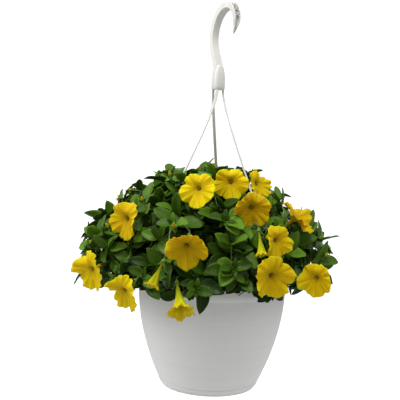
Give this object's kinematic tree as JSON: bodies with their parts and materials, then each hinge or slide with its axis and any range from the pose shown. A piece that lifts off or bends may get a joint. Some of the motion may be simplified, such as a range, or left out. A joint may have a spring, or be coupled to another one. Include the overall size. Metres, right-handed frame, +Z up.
{
  "type": "petunia hanging basket",
  "caption": "Flowering petunia in a round white hanging pot: leafy shoots arch over the rim with funnel blooms, and a three-arm plastic hanger ends in a hook that goes over a bracket.",
  "frame": {"origin": "the seat of the hook, at the inner top of its bend, where the basket hangs", "axes": "+Z up along the pot's axis, which stands beside the origin; +Y runs from the front of the plant to its back; +X to its right seen from the front"},
  "size_m": [0.4557, 0.4692, 0.6849],
  "materials": {
    "white_plastic": "satin",
    "compost": "matte",
    "leaf_green": "satin",
    "petal_yellow": "matte",
    "half_open_lemon": "matte"
  },
  "bodies": {
    "root": {"pot": "white_plastic", "soil": "compost", "hanger": "white_plastic", "shoot_low_back_1": "leaf_green", "shoot_low_back_2": "leaf_green", "shoot_low_back_3": "leaf_green", "shoot_low_back_4": "leaf_green", "shoot_low_back_left": "leaf_green", "shoot_low_back_right": "leaf_green", "shoot_low_front": "leaf_green", "shoot_low_front_left": "leaf_green", "shoot_low_front_right": "leaf_green", "shoot_low_left": "leaf_green", "shoot_low_left_front": "leaf_green", "shoot_low_left_side": "leaf_green", "shoot_low_right": "leaf_green", "shoot_low_right_front": "leaf_green", "shoot_low_right_side": "leaf_green", "shoot_mid_back": "leaf_green", "shoot_mid_back_left": "leaf_green", "shoot_mid_back_right": "leaf_green", "shoot_mid_front": "leaf_green", "shoot_mid_front_left": "leaf_green", "shoot_mid_left": "leaf_green", "shoot_mid_right": "leaf_green", "shoot_mid_right_side": "leaf_green", "shoot_top_back": "leaf_green", "shoot_top_back_left": "leaf_green", "shoot_top_front": "leaf_green", "shoot_top_left": "leaf_green", "shoot_top_right": "leaf_green", "bloom_back": "petal_yellow", "bloom_back_left": "petal_yellow", "bloom_back_low": "petal_yellow", "bloom_back_right": "petal_yellow", "bloom_back_right_up": "petal_yellow", "bloom_far_left": "petal_yellow", "bloom_far_right": "petal_yellow", "bloom_front": "petal_yellow", "bloom_left_back_low": "petal_yellow", "bloom_left_back_up": "petal_yellow", "bloom_left_front": "petal_yellow", "bloom_low_left": "petal_yellow", "bloom_low_right": "petal_yellow", "bloom_right_edge": "petal_yellow", "bloom_right_front": "petal_yellow", "bloom_right_side": "petal_yellow", "bloom_top_back": "petal_yellow", "bloom_top_front": "petal_yellow", "bloom_top_left": "petal_yellow", "bloom_top_right": "petal_yellow", "bloom_upper_front": "petal_yellow", "trumpet_left": "half_open_lemon", "trumpet_right": "half_open_lemon", "trumpet_rim": "half_open_lemon"}
  },
  "joints": []
}
